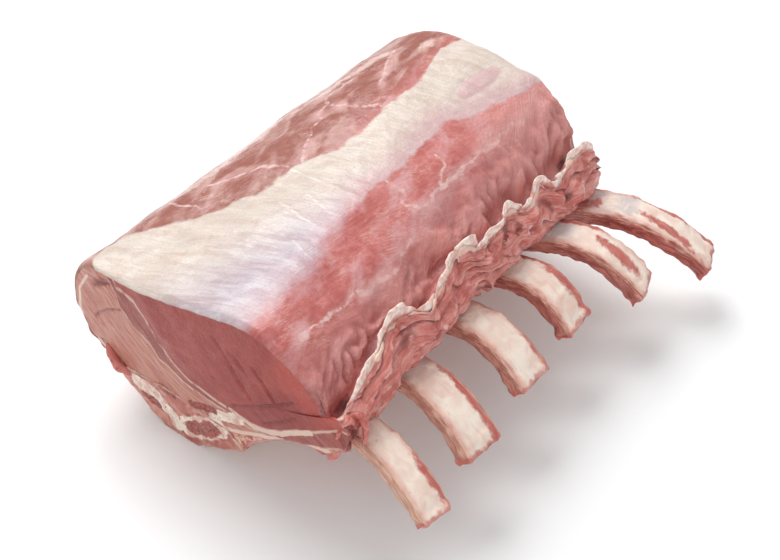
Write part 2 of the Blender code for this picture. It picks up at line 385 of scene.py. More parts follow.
def landmarks(y):
    """The (x, z) of every landmark at y. The flap's steps are eased, and it waves in and out."""
    along = (y - NEAR_Y) / (FAR_Y - NEAR_Y)
    eased = sum(climb(y + step) for step in FLAP_EASE) / len(FLAP_EASE)
    outwards = FLAP_WAVE * noise.noise((y / FLAP_WAVE_LENGTHS[0], 0.5, 2.5))
    lift = FLAP_WAVE * noise.noise((y / FLAP_WAVE_LENGTHS[1], 8.5, 4.5))
    found = []
    for name, (near, middle, far) in SECTION.items():
        x, z = (quadratic(n, m, f, along) for n, m, f in zip(near, middle, far))
        inwards, upwards = FLAP_CLIMB.get(name, (0, 0))
        loose = upwards / FLAP_CLIMB["flap_edge"][1]
        found.append((x - inwards * eased + outwards * loose, z + upwards * eased + lift * loose))
    return np.array(found)


def spline_weights(places):
    """One row for each place on the ring, to multiply with the landmarks: a closed Catmull-Rom curve."""
    start = np.floor(places).astype(int)
    t = places - start
    shares = np.stack(
        [-t + 2 * t**2 - t**3, 2 - 5 * t**2 + 3 * t**3, t + 4 * t**2 - 3 * t**3, -(t**2) + t**3], -1
    )
    weights = np.zeros((len(places), TURN))
    for k in range(4):
        weights[np.arange(len(places)), (start + k - 1) % TURN] += 0.5 * shares[:, k]
    return weights


def ring_scale():
    """Places round the section against millimetres round its middle ring."""
    places = np.linspace(0, TURN, SCALE_STEPS)
    ring = spline_weights(places) @ landmarks(0)
    steps = np.hypot(*np.diff(ring, axis=0).T)
    return places, np.concatenate([[0], np.cumsum(steps)])


def round_places(count):
    """Places round the section, closer together where the density is higher."""
    places, reach = ring_scale()
    density = np.interp(places[:-1], *np.array(DENSITY, float).T)
    total = np.concatenate([[0], np.cumsum(np.diff(reach) * density)])
    return np.interp(np.linspace(0, total[-1], count, endpoint=False), total, places)


def round_mm(places):
    """Millimetres round from the crown, negative on the left."""
    scale_places, reach = ring_scale()
    found = np.interp(places, scale_places, reach)
    return np.where(places < CHINE_RIGHT + 0.5, found, found - reach[-1])


def spaced(low, high, count, crowd):
    """Positions from low to high, crowded towards both ends by crowd, from 0 to 1."""
    even = np.linspace(0, 1, count)
    return low + (high - low) * (even + ((1 - np.cos(np.pi * even)) / 2 - even) * crowd)


def rough(points, size, seed=0):
    """Smooth noise from about -1 to 1. Size is how far apart its lumps lie, one number or one an axis."""
    flat = (np.asarray(points, float) / size + seed).reshape(-1, 3)
    values = np.array([noise.noise(p) for p in flat.tolist()])
    return values.reshape(np.shape(points)[:-1])


def hill(value, middle, half_width):
    """A smooth hill of height 1 over middle."""
    return np.exp(-(((value - middle) / half_width) ** 2))


def rise(value, low, high):
    """0 below low, 1 above high, smooth between."""
    t = np.clip((value - low) / (high - low), 0, 1)
    return t * t * (3 - 2 * t)


def turned(u, v, degrees):
    angle = math.radians(degrees)
    return u * math.cos(angle) + v * math.sin(angle), v * math.cos(angle) - u * math.sin(angle)


def patch(across, along, middle_across, middle_along, half_across, half_along, turn):
    """How deep inside a turned ellipse a point lies: 1 at its middle, 0 at its edge, negative outside."""
    u, v = turned(across - middle_across, along - middle_along, turn)
    return 1 - np.hypot(u / half_across, v / half_along)


def nearest(x, z, lines):
    """The distance from each point to the nearest of several lines."""
    return np.min([line_distance(x, z, line) for line in lines], axis=0)


def marks(x, z, lines):
    """How deep inside the nearest mark a point lies, in millimetres, negative outside."""
    return np.max([reach - line_distance(x, z, line) for line, reach in lines], axis=0)


def cut_fields(x, z):
    """What the marks on a cut end are painted by."""
    return {
        "eye": z - interp(x, EYE_BORDER),
        "band": z - interp(x, BAND_BORDER),
        "shade": patch(x, z, *SHADE),
        "notch": patch(x, z, *NOTCH),
        "skirt": np.where(x > SKIRT_FROM_X, interp(x, FAT_MARKS[1][0]) - z, NO_SKIRT),
        "cut_grain": np.stack([(x - z) / math.sqrt(2), (x + z) / math.sqrt(2), 0 * x], -1),
        "slits": nearest(x, z, SLITS),
        "bone": marks(x, z, BONE_MARKS),
        "marrow": marks(x, z, MARROW_MARKS),
        "fat": marks(x, z, FAT_MARKS),
    }


def line_distance(across, along, line):
    """The distance from each point to a line of points."""
    found = np.inf
    for (a, b), (c, d) in zip(line, line[1:]):
        length = (c - a) ** 2 + (d - b) ** 2
        t = np.clip(((across - a) * (c - a) + (along - b) * (d - b)) / length, 0, 1)
        found = np.minimum(found, np.hypot(across - a - t * (c - a), along - b - t * (d - b)))
    return found


def unit(vectors):
    return vectors / np.maximum(np.linalg.norm(vectors, axis=-1, keepdims=True), 1e-9)


def normals_of(rings):
    """Outward normals of a closed tube of rings (stations, points, 3)."""
    across = np.roll(rings, -1, 1) - np.roll(rings, 1, 1)
    normals = unit(np.cross(across, np.gradient(rings, axis=0)))
    half = len(rings) // 2
    return normals * np.sign((normals[half] * (rings[half] - rings[half].mean(axis=0))).sum())


def closing(rim, goal, count, hole):
    """Rings that close an end, from its rim inwards to a small hole round the goal."""
    shares = 1 - (1 - hole) * np.arange(1, count + 1) / count
    return goal + (rim - goal) * shares[:, None, None]


def lumps(layers):
    """The sum of layers of noise, each (height, over what, size of the lumps, seed)."""
    return sum(height * rough(over, size, seed) for height, over, size, seed in layers)


def tube(name, rings, material, fields):
    """A closed mesh through rings (stations, points, 3) in millimetres, with fields on its points.

    An end whose points lie in pairs is closed by joining them, and any other by one face.
    """
    stations, points, _ = rings.shape
    index = np.arange(stations * points).reshape(stations, points)
    here, ahead = index[:-1], index[1:]
    quads = np.stack([here, np.roll(here, -1, 1), np.roll(ahead, -1, 1), ahead], -1).reshape(-1, 4)
    faces = [*quads.tolist(), index[0][::-1].tolist(), index[-1].tolist()]
    mesh = bpy.data.meshes.new(name)
    mesh.from_pydata(to_frame(rings).reshape(-1, 3).tolist(), [], faces)
    for field, values in fields.items():
        values = np.asarray(values, np.float32)
        kind, member, shape = "FLOAT", "value", rings.shape[:2]
        if values.ndim == 3:
            kind, member, shape = "FLOAT_VECTOR", "vector", rings.shape
        layer = mesh.attributes.new(field, kind, "POINT")
        layer.data.foreach_set(member, np.broadcast_to(values, shape).ravel())
    built = bmesh.new()
    built.from_mesh(mesh)
    bmesh.ops.remove_doubles(built, verts=built.verts, dist=MERGE_REACH * MM)
    bmesh.ops.recalc_face_normals(built, faces=built.faces)
    built.to_mesh(mesh)
    built.free()
    mesh.shade_smooth()
    mesh.materials.append(material)
    made = bpy.data.objects.new(name, mesh)
    bpy.context.scene.collection.objects.link(made)
    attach(made, "root")
    return made


def srgb(red, green, blue):
    """A colour as seen on a screen, from 0 to 255, as the numbers that shaders take."""
    channels = [c / 255 for c in (red, green, blue)]
    return (*[c / 12.92 if c <= 0.04045 else ((c + 0.055) / 1.055) ** 2.4 for c in channels], 1)


class Value:
    """What a node gives: a number, a place or a colour. Sums, products and the rest add a node to it."""

    def __init__(self, look, socket):
        self.look = look
        self.socket = socket

    def __add__(self, other):
        return self.look.maths("ADD", self, other)

    def __mul__(self, other):
        return self.look.maths("MULTIPLY", self, other)

    def __sub__(self, other):
        return self.look.maths("SUBTRACT", self, other)

    def __rsub__(self, other):
        return self.look.maths("SUBTRACT", other, self)

    def __abs__(self):
        return self.look.maths("ABSOLUTE", self)

    def step(self, low, high):
        """0 at low, 1 at high, smooth between. Low may be the larger."""
        inputs = {"Value": self, "From Min": low, "From Max": high}
        return self.look.node("MapRange", "Result", inputs, interpolation_type="SMOOTHSTEP")

    def shaken(self, vector, size, reach, detail=3):
        """The value with noise of that reach added, so that what is cut from it has an uneven edge."""
        return self + (self.look.grain(vector, size, detail) - 0.5) * (2 * reach)


class Look:
    """One material. Most methods add a node and return its value. Sizes and reaches are millimetres."""

    def __init__(self, name, surface):
        self.material = bpy.data.materials.new(name)
        self.material.use_nodes = True
        self.tree = self.material.node_tree
        self.shader = self.tree.nodes["Principled BSDF"]
        self.fill(self.shader, {"Subsurface Scale": SUBSURFACE_SCALE, **dict(zip(SURFACE, surface))})

    def fill(self, node, inputs):
        """Gives a node its inputs, each a value to link or a setting."""
        for name, value in inputs.items():
            if isinstance(value, Value):
                self.tree.links.new(value.socket, node.inputs[name])
            else:
                node.inputs[name].default_value = value

    def node(self, kind, output, inputs, **options):
        made = self.tree.nodes.new("ShaderNode" + kind)
        for option, value in options.items():
            setattr(made, option, value)
        self.fill(made, inputs)
        return Value(self, made.outputs[output])

    def field(self, name):
        return self.node("Attribute", "Fac", {}, attribute_name=name)

    def vector(self, name):
        return self.node("Attribute", "Vector", {}, attribute_name=name)

    def stretched(self, vector, sizes, turn=0):
        """The vector turned about its third axis, in units of two or three sizes."""
        inputs = {"Vector": vector, "Angle": math.radians(turn)}
        turned = self.node("VectorRotate", "Vector", inputs, rotation_type="Z_AXIS")
        scale = tuple(1 / size for size in (*sizes, 1)[:3])
        return self.node("Mapping", "Vector", {"Vector": turned, "Scale": scale})

    def grain(self, vector, size=1, detail=3, twist=0):
        """Noise from 0 to 1, with lumps of about that size."""
        inputs = {"Vector": vector, "Scale": 1 / size, "Detail": detail, "Distortion": twist}
        return self.node("TexNoise", "Fac", inputs)

    def streaks(self, vector, sizes, turn=0, detail=3, twist=0):
        """Noise drawn out along one direction, as fibres and bands are."""
        return self.grain(self.stretched(vector, sizes, turn), 1, detail, twist)

    def cells(self, vector, size=1):
        return self.node("TexVoronoi", "Distance", {"Vector": vector, "Scale": 1 / size})

    def maths(self, operation, first, second=0):
        return self.node("Math", 0, {0: first, 1: second}, operation=operation)

    def mix(self, factor, first, second, blend="MIX"):
        """Between two colours, each a value or the red, green and blue of a screen, from 0 to 255."""
        first, second = (srgb(*c) if isinstance(c, tuple) and len(c) == 3 else c for c in (first, second))
        inputs = {"Factor": factor, 6: first, 7: second}
        return self.node("Mix", 2, inputs, data_type="RGBA", blend_type=blend)

    def coats(self, colour, *coats):
        """The colour with coats laid over it in turn, each a (cover, paint) pair."""
        for cover, paint in coats:
            colour = self.mix(cover, colour, paint)
        return colour

    def finished(self, colour, roughness, *bumps):
        """The material with this colour and roughness, and bumps as (height, millimetres) pairs."""
        below = {}
        for height, reach in bumps:
            inputs = {"Strength": 1, "Distance": reach * MM, "Height": height, **below}
            below = {"Normal": self.node("Bump", "Normal", inputs)}
        self.fill(self.shader, {"Base Color": colour, "Roughness": roughness, **below})
        return self.material


def loin_rings():
    """The loin's rings from the middle of its near face to that of its far end, with where each point is.

    Returns the rings, each ring's y along the skin, each point's place round, and how far onto an end a
    ring is: 0 on the side, then growing to 1 at the end's middle, negative on the near end.
    """
    places = round_places(LOIN_POINTS)
    weights = spline_weights(places)
    rings = []
    along = spaced(NEAR_Y, FAR_Y, LOIN_RINGS, LOIN_CROWDING)
    for y in along:
        ring = weights @ landmarks(y)
        for from_rim, rounding in ((y - NEAR_Y, NEAR_RIM_ROUND), (FAR_Y - y, FAR_RIM_ROUND)):
            if from_rim < rounding:
                inset = rounding - math.sqrt(rounding**2 - (rounding - from_rim) ** 2)
                middle = ring.mean(axis=0)
                reach = np.linalg.norm(ring - middle, axis=1, keepdims=True)
                ring = middle + (ring - middle) * (1 - RIM_PULL * inset / reach)
        rings.append(np.stack([ring[:, 0], np.full(len(ring), y), ring[:, 1]], -1))
    rings = np.array(rings)
    swell = SWELL * rough(rings, SWELL_SIZE)
    rings[..., 0] *= 1 + swell / LOIN_HALF_WIDTH
    rings[..., 2] += swell
    near = end_rings(rings[0], NEAR_RINGS, -NEAR_DOME)[::-1]
    far = end_rings(rings[-1], FAR_RINGS, FAR_DOME)
    near_onto, far_onto = (np.arange(1, count + 1) / count for count in (NEAR_RINGS, FAR_RINGS))
    onto = np.concatenate([-near_onto[::-1], np.zeros(LOIN_RINGS), far_onto])
    ys = np.concatenate([np.full(NEAR_RINGS, NEAR_Y), along, np.full(FAR_RINGS, FAR_Y)])
    return np.concatenate([near, rings, far]), ys, places, onto


def end_rings(rim, count, dome):
    """Rings that close an end, from the rim inwards to the end's line."""
    low, high = np.array(END_LINE)
    across = high - low
    share = np.clip((rim[:, ::2] - low) @ across / (across @ across), 0, 1)
    share = np.round(share * END_LINE_STEPS) / END_LINE_STEPS
    goal = rim.copy()
    goal[:, ::2] = low + share[:, None] * across
    rings = closing(rim, goal, count, 0)
    left = 1 - np.arange(1, count + 1) / count
    rings[..., 1] += dome * (1 - left**2)[:, None]
    return rings


def creases(skin, size, turn, seed):
    """Narrow folds over the skin, 1 at the bottom of each and 0 between, in patches."""
    u, v = turned(skin[..., 0], skin[..., 1], turn)
    bent = v + 3.0 * rough(np.stack([u, v, v], -1), 16, seed + 5)
    field = rough(np.stack([u / size[0], bent / size[1], 0 * u], -1), 1, seed)
    patches = rise(rough(skin, 17, seed + 9), -0.15, 0.25)
    return hill(field, 0, 0.2) * patches


def interp(at, table):
    return np.interp(at, *np.array(table, float).T)


def flap_shape(skin, place, along, side):
    """The flap: where it lies, the crease behind it, its layers and their terraces, and its ragged edge."""
    flap = rise(place, CREASE + 0.2, CREASE + 0.7) * (1 - rise(place, LIP + 0.3, LIP + 1)) * side
    gap = np.max([hill(along, middle, half) for middle, half in CREASE_GAPS], axis=0)
    crease = hill(place, CREASE + 0.15, 0.14 + 0.14 * gap) * (0.25 + 0.75 * gap) * side
    lean = place - FLAP_EDGE + 0.9 * rough(skin, (14, 17, 1), 3)
    strata = lean * FLAP_LAYERS
    terrace = (strata % 1) * flap * rise(place, FLAP_EDGE + 0.1, FLAP_EDGE + 0.5)
    spread = 0.26 + 0.2 * rough(skin, (40, 16, 1), 71)
    ragged = hill(place, FLAP_EDGE - 0.12, spread) * side
    return flap, crease, strata, terrace, ragged


def loin(material):
    """The loin, with its relief and with the fields that its material paints by."""
    rings, ys, places, onto = loin_rings()
    along, place, around = ys[:, None], places[None], round_mm(places)[None]
    side, near_end, far_end = (1.0 * mask[:, None] for mask in (onto == 0, onto < 0, onto > 0))
    skin = np.stack(np.broadcast_arrays(around, along, 0), -1)
    left, up = FAR_MARKS_SHIFT
    cut = cut_fields(rings[..., 0] + left * far_end, rings[..., 2] - up * far_end)
    inwards = np.linalg.norm(rings - rings[NEAR_RINGS], axis=-1) * near_end
    inwards += np.linalg.norm(rings - rings[-FAR_RINGS - 1], axis=-1) * far_end

    bent_along = along + lumps(((3.5, skin, 10, 81), (1.2, skin, 4, 85)))
    bent_around = around + lumps(((3.5, skin, 10, 83), (1.2, skin, 4, 87)))
    scores = nearest(along, around, SCORES)
    window = patch(along, around, *WINDOW)
    flap, crease, strata, terrace, ragged = flap_shape(skin, place, along, side)
    folds = rise(around, 34, 62) * (1 - rise(place, CREASE - 0.35, CREASE)) * side
    long_creases = creases(skin, (30, 9), -50, 11)
    creased = folds * np.maximum(long_creases, creases(skin, (14, 7), 10, 17))
    wrinkled = folds * creases(skin, (13, 4.5), -25, 23)
    torn = rise(along, 84, 110) * hill(around, 58, 20) * side
    belly = hill(place, NAMES.index("left_belly"), 0.9) * rise(-along, 40, 95) * side
    hollow = hill(np.linalg.norm(rings - HOLLOW, axis=-1), 0, HOLLOW_REACH)

    # Each layer of lumps: height in millimetres and where it lies, over what, the lumps' size, and seed.
    relief = lumps(
        (
            (0.7 * (1 - 0.6 * near_end), rings, 15, 1.5),
            (0.3, rings, 5, 8.5),
            (1.2 * folds, skin, (12, 16, 1), 19),
            (-1.6 * crease, skin, (4, 9, 1), 5),
            (3.4 * flap, skin, (11, 12, 1), 51),
            (1.5 * flap, skin, (14, 6, 1), 53),
            (2.4 * hill(place, LIP, 0.35) * side, skin, (6, 7, 1), 57),
            (1.6 * ragged, skin, (3, 3.4, 1), 21),
            (2.6 * torn, rings, 6.5, 31),
            (2.6 * belly, rings, 7, 33),
            (0.3 * near_end * (1 - rise(cut["eye"], 0, 3)), cut["cut_grain"], (12, 3.4, 1), 61),
        )
    )
    relief += 3.2 * (terrace - 0.5) * flap + 1.2 * ragged
    relief -= 2.8 * creased + 1.4 * wrinkled + 4.5 * crease + 3.0 * hollow
    relief += near_end * 1.1 * rise(cut["eye"], 0, 14)
    relief -= near_end * 0.7 * hill(cut["slits"] + 0.5 * rough(rings, 4, 3), 0, 0.9)
    relief += side * (0.45 * hill(scores, 0, 0.8) - 0.5 * hill(window, 0, 0.25))
    off_end = np.sign(onto)[:, None, None] * np.array((0, 1, 0))
    outward = np.where((inwards > FLAT_END_FROM)[..., None], off_end, normals_of(rings))
    rings = rings + relief[..., None] * outward

    fields = {
        "skin": skin,
        "flesh": rings,
        "silver_left": around - interp(along, SILVER_LEFT),
        "silver_right": interp(along, SILVER_RIGHT) - around,
        # cool: bluish lavender on the silverskin towards the near right, partly its own tone and partly a
        # painted sheen.
        "cool": rise(around - 0.3 * (along + 60), -34, 4) * rise(-along, -15, 55),
        "threads": nearest(bent_along, bent_around, THREADS),
        "scores": scores,
        "pale": np.max([patch(along, around, *spot) for spot in PALE_PATCHES], axis=0),
        "window": window,
        "face": np.where(side > 0, -np.minimum(along - NEAR_Y, FAR_Y - along), inwards),
        "flap": flap,
        "strata": strata,
        "fringe": ragged,
        # crease: the crease behind the flap and the curl's hollow, where painted shade darkens the flesh.
        "crease": np.maximum(crease, 1.5 * hollow),
        # folds and creased also mark where the side is painted darker as shade, and light where it is
        # painted lighter to lift its shaded parts.
        "folds": folds,
        "creased": np.maximum(creased, 0.6 * wrinkled),
        "light": np.maximum(0.9 * folds, 0.8 * rise(along, 20, 80) * rise(around, 15, 45)),
        "leftwards": rise(-around, 0, 35),
        "rightwards": rise(place, 0.6, 1.6) * (1 - rise(place, CREASE + 1, CREASE + 2)),
        "beneath": rise(np.abs(around), 112, 132) * side,
        **cut,
    }
    made = tube("loin", rings, material, fields)
    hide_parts("meat")


def flesh_look():
    """Raw veal: pink flesh with fibres and webs, the silverskin over it, cut ends, white fat, and painted
    light and shade.
    """
    look = Look("raw_flesh", FLESH)
    skin = look.vector("skin")
    flesh = look.vector("flesh")
    fine = look.grain(flesh, 0.9, 4)
    middling = look.grain(flesh, 5, 4, 0.6)
    broad = look.grain(flesh, 19, 3)

    red = look.mix(broad.step(0.35, 0.65), (184, 98, 94), (198, 116, 108))
    fibres = look.streaks(skin, (1.4, 11), 18, 4, 0.5)
    left = look.mix(middling.step(0.35, 0.7), (152, 88, 70), (136, 68, 55))
    red = look.coats(
        red,
        (middling.step(0.4, 0.75), (206, 130, 126)),
        (fibres.step(0.45, 0.8) * 0.45, (168, 76, 74)),
        (look.field("leftwards") * 0.9, left),
    )
    red = membranes(look, skin, red, middling, broad)
    # Painted shade in patches over the folds beside the crease.
    folds = look.field("folds") * look.grain(skin, 8, 4, 1).step(0.4, 0.7)
    silver, cover = silverskin(look, skin)
    # Painted light lifts the side near the crease and towards the far right; painted shade darkens the
    # folds and the bottoms of the creases.
    red = look.coats(
        red,
        (look.field("light") * 0.85, (232, 170, 163)),
        (folds * 0.15, (168, 86, 86)),
        (look.field("creased") * 0.55, (160, 72, 72)),
    )
    colour = look.mix(cover, red, silver)
    colour = flap_colours(look, skin, colour)
    colour = under_colours(look, skin, colour)
    colour, cut = cut_end(look, flesh, colour)
    speckle = fine.step(0.3, 0.75)
    colour = look.mix(speckle * 0.15, colour, (150, 80, 76), "MULTIPLY")

    lines = look.streaks(skin, (1.3, 20), 80, 3, 0.4)
    wrinkles = look.streaks(skin, (2, 9), -38, 4, 1.4)
    on_skin = 1 - cut
    return look.finished(
        colour,
        middling * 0.3 + 0.2,
        (look.grain(flesh, 3.2, 4), 0.5),
        (lines * (on_skin * cover), 0.3),
        (fibres * on_skin, 0.25),
        (wrinkles * look.field("light"), 0.9),
        (fine * cut, 0.4),
    )


def membranes(look, skin, red, middling, broad):
    """The pale film, threads and fatty patches that lie on the red flesh; the lavender film is partly a
    painted sheen.
    """
    # The veil paints a lavender film: partly membrane, partly a painted sheen.
    veil = look.streaks(skin, (13, 24), -12, 5, 0.7)
    film = look.mix(look.field("leftwards"), (216, 170, 172), (214, 176, 166))
    mauve = look.streaks(skin, (9, 15), -35, 5, 0.9).step(0.5, 0.66)
    wisps = look.streaks(skin, (3.2, 14), 30, 6, 1.2)
    thin = abs(wisps - 0.5).step(0.035, 0)
    near_threads = look.field("threads").shaken(skin, 3, 1.6, 5)
    web = near_threads.step(1.4, 0) * middling.step(0.3, 0.5)
    halo = near_threads.step(8, 1) * veil.step(0.4, 0.6)
    spots = look.field("pale").shaken(skin, 9, 1.1, 5).shaken(skin, 2.5, 0.4)
    return look.coats(
        red,
        (veil.step(0.46, 0.7) * 0.6, film),
        (mauve * (look.field("light") * 0.5), (186, 112, 114)),
        (thin * (broad.step(0.45, 0.6) * 0.35), (232, 196, 190)),
        (web * 0.75, (238, 212, 206)),
        (halo * 0.4, (224, 176, 174)),
        (spots.step(0.1, 0.9) * 0.75, (228, 202, 192)),
    )


def silverskin(look, skin):
    """The silverskin's colour, and where it covers the flesh."""
    lines = look.streaks(skin, (1, 16), 78, 4, 0.4)
    sheen = look.streaks(skin, (6, 22), 72, 4, 0.8)
    cream = look.mix(sheen.step(0.35, 0.7), (219, 207, 195), (206, 188, 175))
    # Towards the near right the silverskin turns bluish lavender: partly its own tone, partly a painted
    # sheen.
    cool = look.mix(sheen.step(0.35, 0.65), (208, 200, 205), (186, 168, 177))
    colour = look.mix(look.field("cool").shaken(skin, 14, 0.3), cream, cool)
    combed = look.streaks(skin, (30, 18), 20, 3).step(0.42, 0.62)
    combed = combed * 0.75 + 0.25
    bright = lines.step(0.52, 0.7) * (combed * 0.38)
    flecks = look.streaks(skin, (1, 4), 70, 5).step(0.66, 0.72)
    score = look.field("scores").shaken(skin, 2.5, 0.5).step(1, 0.2)
    window = look.field("window").shaken(skin, 6, 0.2).step(0, 0.15)
    left = look.field("silver_left").shaken(skin, 7, 3.5, 6)
    right = look.field("silver_right").shaken(skin, 8, 4, 6)
    crisp = right.step(-1, 1.6)
    soft = right.step(-3, 8)
    edge = crisp + look.field("cool") * (soft - crisp)
    cover = left.step(-1.2, 1.6) * edge
    thin = right.step(18, 0) * 0.7
    colour = look.coats(
        colour,
        (bright, (240, 231, 222)),
        (lines.step(0.47, 0.3) * (combed * 0.3), (206, 160, 156)),
        (flecks * 0.35, (200, 126, 126)),
        (score * 0.5, (250, 244, 236)),
        (window * 0.6, (208, 166, 172)),
        (thin, (206, 164, 170)),
    )
    return colour, cover


def flap_colours(look, skin, colour):
    """The flap: red strata with pale lines between them, a white fat edge, and painted shade under strata
    and crease.
    """
    flap = look.field("flap")
    streaks = look.streaks(skin, (2.2, 11), 0, 4, 1.2)
    patchy = look.grain(skin, 9, 4, 0.8)
    red = look.mix(streaks.step(0.35, 0.7), (208, 114, 106), (240, 172, 160))
    phase = look.maths("FRACT", look.field("strata").shaken(skin, 5, 0.2))
    # line: pale lines on each stratum's raised edge, partly pale tissue and partly a painted highlight;
    # under: painted shade just below each edge.
    line = phase.step(0.8, 0.97) * look.grain(skin, 6, 4).step(0.48, 0.6)
    under = phase.step(0.36, 0.02) * look.grain(skin, 7, 4).step(0.32, 0.5)
    red = look.coats(
        red,
        (patchy.step(0.45, 0.7) * 0.6, (168, 72, 68)),
        (patchy.step(0.45, 0.3) * 0.5, (222, 166, 160)),
        (line * 0.75, (240, 208, 200)),
        (under * 0.85, (122, 32, 32)),
    )
    fat = look.field("fringe").shaken(skin, 4, 0.65, 5).step(0.5, 0.8)
    # The crease behind the flap and the hollow in the curl are painted dark as shade.
    dark = look.field("crease").shaken(skin, 4, 0.25).step(0.35, 0.95)
    return look.coats(
        colour,
        (flap * 0.95, red),
        (fat * 0.85, (236, 206, 190)),
        (dark * 0.9, (104, 26, 30)),
    )


def under_colours(look, skin, colour):
    """The lining beneath the ribs: greyish pink, with white bands."""
    bands = look.streaks(skin, (20, 4), 0, 4, 0.8)
    lining = look.mix(bands.step(0.4, 0.65), (186, 112, 104), (220, 182, 172))
    return look.mix(look.field("beneath") * 0.85, colour, lining)


def cut_end(look, flesh, colour):
    """The cut ends, and where they lie: two muscles, the seams between them, fat, bone, marrow, painted
    light and shade.
    """
    cut = look.field("face").shaken(flesh, 4, 0.5).step(0.5, 1.2)
    fine = look.grain(flesh, 1.1, 5)
    patchy = look.grain(flesh, 11, 4, 0.6)
    eye = look.mix(patchy.step(0.35, 0.7), (158, 58, 51), (172, 74, 65))
    # Painted light along the right rim of the cut end, where its face turns to the side.
    painted_rim_light = look.field("rightwards") * look.field("face").step(17, 5)
    # Pale flecks on the eye muscle, partly fat specks and partly painted wet glints.
    flecks = look.streaks(flesh, (1.6, 1, 0.7), 0, 3).step(0.7, 0.76)
    # Painted shade over the lower right of the eye muscle.
    shade = look.field("shade").shaken(flesh, 9, 0.4).step(-0.1, 0.7)
    rays = look.streaks(look.vector("cut_grain"), (14, 2.4), 0, 5, 0.6)
    pale = look.mix(rays.step(0.3, 0.75), (186, 112, 97), (210, 148, 130))
    between = look.mix(rays.step(0.4, 0.6), (150, 72, 64), (172, 96, 84))
    eye_border = look.field("eye").shaken(flesh, 12, 1.5, 4)
    band_border = look.field("band").shaken(flesh, 9, 1.5, 4)
    meat = look.mix(band_border.step(-0.8, 0.8), pale, between)
    eye = look.coats(
        eye,
        (fine.step(0.55, 0.75) * 0.25, (194, 112, 98)),
        (painted_rim_light * 0.7, (196, 86, 75)),
        (flecks * 0.5, (226, 166, 150)),
        (shade * 0.55, (138, 46, 44)),
    )
    meat = look.mix(eye_border.step(-0.8, 0.8), meat, eye)
    for border, width, strength in ((eye_border, 1.6, 0.85), (band_border, 1.2, 0.75)):
        off = abs(border)
        broken = look.grain(flesh, 6, 4).step(0.3, 0.55) * strength
        meat = look.mix(off.step(width, 0.2) * broken, meat, (230, 196, 180))
    for shift, strength in ((5, 0.45), (8.5, 0.35), (13, 0.25)):
        off = abs(band_border + shift)
        meat = look.mix(off.step(0.9, 0.1) * strength, meat, (228, 186, 170))
    # Painted shade in the slits.
    slit_shade = look.field("slits").shaken(flesh, 4, 0.8).step(1.1, 0.2)
    notch = look.field("notch").shaken(flesh, 4, 0.5).step(0, 0.6)
    fat = look.field("fat").shaken(flesh, 5, 1).step(-0.2, 0.6)
    torn = look.mix(look.grain(flesh, 4, 5, 1).step(0.42, 0.58), (186, 84, 74), (238, 200, 178))
    skirt = look.field("skirt").shaken(flesh, 5, 1).step(1, 2.5)
    meat = look.coats(
        meat,
        (slit_shade * 0.5, (116, 42, 42)),
        (notch * 0.75, (132, 46, 44)),
        (fat * 0.9, (240, 212, 194)),
        (skirt * 0.85, torn),
    )
    meat = bone_marks(look, flesh, meat)
    return look.mix(cut, colour, meat), cut


def bone_marks(look, flesh, colour):
    """Sawn bone on a cut end, and the dark marrow in it."""
    edge = look.field("bone").shaken(flesh, 7, 2.8, 4).shaken(flesh, 1.8, 1.1)
    halo = edge.step(-3, -0.5) * look.grain(flesh, 4, 4).step(0.42, 0.6)
    cream = look.mix(look.grain(flesh, 5, 4).step(0.35, 0.6), (252, 236, 220), (222, 180, 166))
    colour = look.mix(halo * 0.6, colour, (150, 62, 56))
    cream = look.mix(look.grain(flesh, 1.8, 5).step(0.6, 0.7), cream, (196, 112, 100))
    cells = look.cells(look.stretched(flesh, (1.7, 1.7, 1.3)))
    marrow = look.mix(cells.step(0.2, 0.7), (116, 16, 16), (186, 82, 68))
    colour = look.mix(edge.step(-0.3, 0.5), colour, cream)
    inside = look.field("marrow").shaken(flesh, 6, 2.4, 4).shaken(flesh, 1.8, 1.3)
    marrow = look.mix(look.grain(flesh, 2.6, 4).step(0.52, 0.62), marrow, (98, 22, 20))
    return look.mix(inside.step(-0.3, 0.5) * 0.92, colour, marrow)


def rib_line(index, along):
    """The middle of a rib at along, from 0 at the chine to 1 at its sawn end."""
    start_x, start_z = RIB_START
    tip_x, tip_y, tip_z = RIB_TIPS[index]
    root_y = RIB_ROOT_Y[index]
    crest_z = RIB_CREST_Z[index]
    x = start_x + (tip_x - start_x) * along
    rising = (crest_z - start_z) * ((RIB_CREST_X - x) / (RIB_CREST_X - start_x)) ** 2
    falling = (crest_z - tip_z) * ((x - RIB_CREST_X) / (tip_x - RIB_CREST_X)) ** 2
    fall = np.where(x < RIB_CREST_X, rising, falling)
    out = np.maximum(0, (x - RIB_FAN_FROM_X) / (tip_x - RIB_FAN_FROM_X))
    return np.stack([x, root_y + (tip_y - root_y) * out, crest_z - fall], -1)


